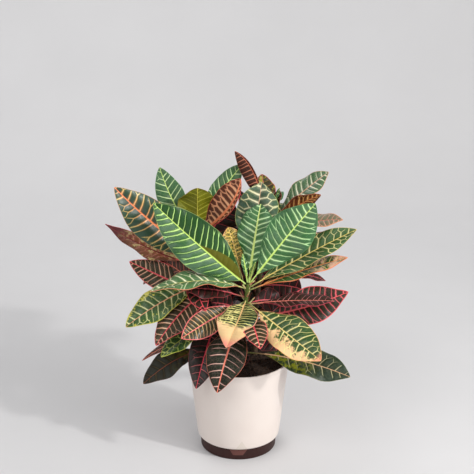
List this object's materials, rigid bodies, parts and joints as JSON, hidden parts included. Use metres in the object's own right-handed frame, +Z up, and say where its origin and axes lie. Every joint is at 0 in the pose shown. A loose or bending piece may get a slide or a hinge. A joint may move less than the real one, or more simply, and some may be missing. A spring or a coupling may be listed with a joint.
{
  "type": "potted croton plant",
  "caption": "Bushy croton with broad waxy leaves and coloured veins, standing in a tapered cream pot on a dark recessed base.",
  "frame": {"origin": "centre of the pot's flat foot, on the surface that it stands on", "axes": "+Z up, -Y toward the side that the plant shows best, +X to the right seen from there"},
  "size_m": [0.5796, 0.4612, 0.7094],
  "materials": {
    "pot": "satin cream",
    "base": "satin dark brown",
    "soil": "matt, crumbly potting soil",
    "bark": "matt young bark with leaf scars",
    "young_leaf": "waxy leaf with coloured veins",
    "mature_leaf": "waxy leaf with coloured veins",
    "orange_veined_leaf": "waxy leaf with coloured veins",
    "crimson_veined_leaf": "waxy leaf with coloured veins",
    "peach_leaf": "waxy leaf with coloured veins",
    "brown_leaf": "waxy leaf with coloured veins",
    "olive_leaf": "waxy leaf with coloured veins"
  },
  "bodies": {
    "root": {"pot_shell": "pot", "pot_base": "base", "soil": "soil", "front_shoot": "bark", "left_shoot": "bark", "right_shoot": "bark", "front_leaf_1": "young_leaf", "front_leaf_2": "young_leaf", "front_leaf_3": "young_leaf", "front_leaf_4": "mature_leaf", "front_leaf_5": "mature_leaf", "front_leaf_6": "mature_leaf", "front_leaf_7": "crimson_veined_leaf", "front_leaf_8": "peach_leaf", "front_leaf_9": "crimson_veined_leaf", "front_leaf_10": "crimson_veined_leaf", "front_leaf_11": "peach_leaf", "front_leaf_12": "peach_leaf", "front_leaf_13": "brown_leaf", "front_leaf_14": "crimson_veined_leaf", "left_leaf_1": "crimson_veined_leaf", "front_leaf_15": "orange_veined_leaf", "front_leaf_16": "crimson_veined_leaf", "front_leaf_17": "peach_leaf", "right_leaf_1": "brown_leaf", "right_leaf_2": "olive_leaf", "right_leaf_3": "mature_leaf", "right_leaf_4": "brown_leaf", "right_leaf_5": "brown_leaf", "front_leaf_18": "orange_veined_leaf", "right_leaf_6": "crimson_veined_leaf", "left_leaf_2": "orange_veined_leaf", "left_leaf_3": "young_leaf", "left_leaf_4": "olive_leaf", "left_leaf_5": "mature_leaf", "left_leaf_6": "brown_leaf", "left_leaf_7": "brown_leaf", "left_leaf_8": "crimson_veined_leaf", "left_leaf_9": "orange_veined_leaf", "left_leaf_10": "crimson_veined_leaf", "left_leaf_11": "crimson_veined_leaf", "left_leaf_12": "crimson_veined_leaf", "left_leaf_13": "mature_leaf", "left_leaf_14": "peach_leaf", "left_leaf_15": "crimson_veined_leaf", "front_leaf_19": "crimson_veined_leaf", "left_leaf_16": "mature_leaf", "left_leaf_17": "crimson_veined_leaf", "left_leaf_18": "mature_leaf", "left_leaf_19": "crimson_veined_leaf", "left_leaf_20": "orange_veined_leaf", "left_leaf_21": "crimson_veined_leaf", "right_leaf_7": "young_leaf", "right_leaf_8": "mature_leaf", "right_leaf_9": "peach_leaf", "right_leaf_10": "crimson_veined_leaf", "right_leaf_11": "orange_veined_leaf", "right_leaf_12": "crimson_veined_leaf", "right_leaf_13": "crimson_veined_leaf", "right_leaf_14": "mature_leaf"}
  },
  "joints": []
}
